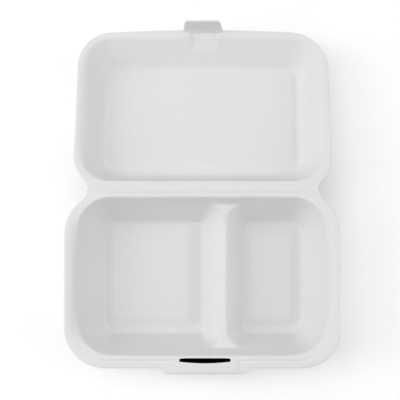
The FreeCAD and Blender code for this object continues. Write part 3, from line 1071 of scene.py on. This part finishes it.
def plain_material(name, color):
    """A matt material of one colour."""
    paint = Paint(name)
    shader = paint.node(
        "ShaderNodeBsdfPrincipled",
        {},
        {"Base Color": (*color, 1.0), "Roughness": 0.9, "Specular IOR Level": 0.0},
    )
    paint.node("ShaderNodeOutputMaterial", {}, {"Surface": shader.outputs[0]})
    return paint.material


def build_floor():
    """A large pale floor under the box."""
    half = FLOOR_HALF / MM
    points = [(-half, -half, 0.0), (half, -half, 0.0), (half, half, 0.0), (-half, half, 0.0)]
    floor = make_mesh("floor", points, [(0, 1, 2, 3)])
    floor.data.materials.append(plain_material("pale_floor", settings().floor_color))


def soft_light(name, azimuth, elevation, watts):
    """A square area light on the studio's dome, aimed at the box; angles are in degrees."""
    around = math.radians(azimuth)
    up = math.radians(elevation)
    target = (0.0, AXIS_Y * MM, 0.0)
    data = bpy.data.lights.new(name, "AREA")
    data.shape = "SQUARE"
    data.size = LIGHT_SIZE
    data.energy = watts
    light = bpy.data.objects.new(name, data)
    light.location = (
        DOME_RADIUS * math.cos(up) * math.cos(around),
        target[1] + DOME_RADIUS * math.cos(up) * math.sin(around),
        DOME_RADIUS * math.sin(up),
    )
    towards_box = Vector(target) - light.location
    light.rotation_euler = towards_box.to_track_quat("-Z", "Y").to_euler()
    bpy.context.scene.collection.objects.link(light)


def build_lights():
    """Soft lights round the box, strongest low on the left, and an even white sky."""
    soft_light("left_low", 180, LOW, 10.3)
    soft_light("right_low", 0, LOW, 7.4)
    soft_light("back_low", 90, LOW, 2.8)
    soft_light("front_low", 270, LOW, 3.7)
    soft_light("left_high", 180, HIGH, 3.8)
    soft_light("back_left_high", 135, HIGH, 3.1)
    soft_light("back_right_high", 45, HIGH, 1.5)
    soft_light("right_high", 0, HIGH, 1.2)
    soft_light("front_high", 270, HIGH, 0.8)
    soft_light("top", 90, 90, 5.2)
    world = bpy.data.worlds.new("studio")
    bpy.context.scene.world = world
    world.use_nodes = True
    background = world.node_tree.nodes["Background"]
    background.inputs[0].default_value = (1.0, 1.0, 1.0, 1.0)
    background.inputs[1].default_value = SKY_STRENGTH


def build_camera():
    """The photograph's camera: straight above the tray, with the frame shifted off its axis."""
    place = (*CAMERA_PLACE, RIM_TOP + CAMERA_ABOVE_RIM)
    data = bpy.data.cameras.new("camera")
    data.sensor_width = SENSOR_WIDTH
    data.lens = SENSOR_WIDTH * FOCAL_PIXELS / IMAGE_PIXELS
    data.shift_x = (IMAGE_PIXELS / 2 - AXIS_PIXEL[0]) / IMAGE_PIXELS
    data.shift_y = (AXIS_PIXEL[1] - IMAGE_PIXELS / 2) / IMAGE_PIXELS
    data.clip_start = 0.01
    data.clip_end = 20.0
    camera = bpy.data.objects.new("camera", data)
    camera.location = [value * MM for value in place]
    camera.rotation_euler = (CAMERA_PITCH, 0.0, 0.0)
    bpy.context.scene.collection.objects.link(camera)
    bpy.context.scene.camera = camera


def set_color_view():
    """Plain colour management, so that greys come out as they are lit."""
    view = bpy.context.scene.view_settings
    view.view_transform = "Standard"
    view.look = "None"
    view.exposure = 0.0
    view.gamma = 1.0


# The add-on


def length_setting(name, description, millimetres):
    """A size of at least 0.2 mm, with its default."""
    return FloatProperty(
        name=name, description=description, default=millimetres * MM, min=0.2 * MM, unit="LENGTH"
    )


def color_setting(name, description, color):
    """A colour, with its default."""
    return FloatVectorProperty(
        name=name, description=description, default=color, subtype="COLOR", min=0.0, max=1.0
    )


class FoamBoxSettings(bpy.types.PropertyGroup):
    """Sizes and colours of the foam box that a user can change."""

    divider_below_rim: length_setting("Divider drop", "How far the divider's crest is below the rim", 17.0)
    panel_rise: length_setting("Floor panel rise", "How far the floor panels stand up", 3.0)
    slit_length: length_setting("Slit length", "Length of the latch slit", 44.3)
    slit_width: length_setting("Slit width", "Width of the latch slit in its middle", 4.5)
    lid_panel_rise: length_setting("Lid panel rise", "How far the lid's top panel stands up", 1.0)
    tongue_length: length_setting("Tongue length", "How far the tongue stands off the lid's rim", 14.8)
    cell_size: length_setting("Cell size", "Size of the foam's cells", 1.1)
    foam_light: color_setting("Foam, light", "Lighter colour of the foam", (0.76, 0.76, 0.764))
    foam_shade: color_setting("Foam, shade", "Darker colour of the foam", (0.68, 0.682, 0.688))
    floor_color: color_setting("Floor", "Colour of the floor", (0.97, 0.97, 0.97))


class FOAMBOX_OT_tray(bpy.types.Operator):
    """Build the tray with its two compartments and latch slit"""

    bl_idname = "foambox.tray"
    bl_label = "Tray"

    def execute(self, context):
        tray = finished(build_tray())
        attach(tray, "tray")
        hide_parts("tray")
        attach(build_slit_pocket(), "tray")
        return {"FINISHED"}


class FOAMBOX_OT_lid(bpy.types.Operator):
    """Build the lid with its top panel, finger pocket and tongue"""

    bl_idname = "foambox.lid"
    bl_label = "Lid"

    def execute(self, context):
        lid = finished(build_lid())
        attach(lid, "lid")
        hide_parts("lid")
        tongue = finished(build_tongue())
        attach(tongue, "lid")
        return {"FINISHED"}


class FOAMBOX_OT_hinge(bpy.types.Operator):
    """Build the thin strip between tray and lid"""

    bl_idname = "foambox.hinge"
    bl_label = "Hinge strip"

    def execute(self, context):
        hinge = finished(build_hinge())
        start = (0.0, (AXIS_Y - HINGE_BAND / 2) * MM, AXIS_Z * MM)
        end = (0.0, (AXIS_Y + HINGE_BAND / 2) * MM, AXIS_Z * MM)
        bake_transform(hinge)
        return {"FINISHED"}


class FOAMBOX_OT_stage(bpy.types.Operator):
    """Build the floor, the lights and the camera"""

    bl_idname = "foambox.stage"
    bl_label = "Stage"

    def execute(self, context):
        build_floor()
        build_lights()
        build_camera()
        set_color_view()
        return {"FINISHED"}


class FOAMBOX_PT_panel(bpy.types.Panel):
    """Lists the box's settings and steps"""

    bl_label = "Foam Box"
    bl_idname = "FOAMBOX_PT_panel"
    bl_space_type = "VIEW_3D"
    bl_region_type = "UI"
    bl_category = "Foam Box"

    def draw(self, context):
        chosen = context.scene.foam_box
        for name in FoamBoxSettings.__annotations__:
            self.layout.prop(chosen, name)
        for operator in OPERATORS:
            self.layout.operator(operator.bl_idname)


OPERATORS = (FOAMBOX_OT_tray, FOAMBOX_OT_lid, FOAMBOX_OT_hinge, FOAMBOX_OT_stage)
CLASSES = (FoamBoxSettings, *OPERATORS, FOAMBOX_PT_panel)


def register():
    """Registers the classes and the scene's settings."""
    for item in CLASSES:
        bpy.utils.register_class(item)
    bpy.types.Scene.foam_box = PointerProperty(type=FoamBoxSettings)


def unregister():
    """Takes the settings and the classes away again."""
    del bpy.types.Scene.foam_box
    for item in reversed(CLASSES):
        bpy.utils.unregister_class(item)


def main():
    """Builds the pieces and the stage."""
    register()
    bpy.ops.foambox.tray()
    bpy.ops.foambox.lid()
    bpy.ops.foambox.hinge()
    bpy.ops.foambox.stage()


if __name__ == "__main__":
    main()
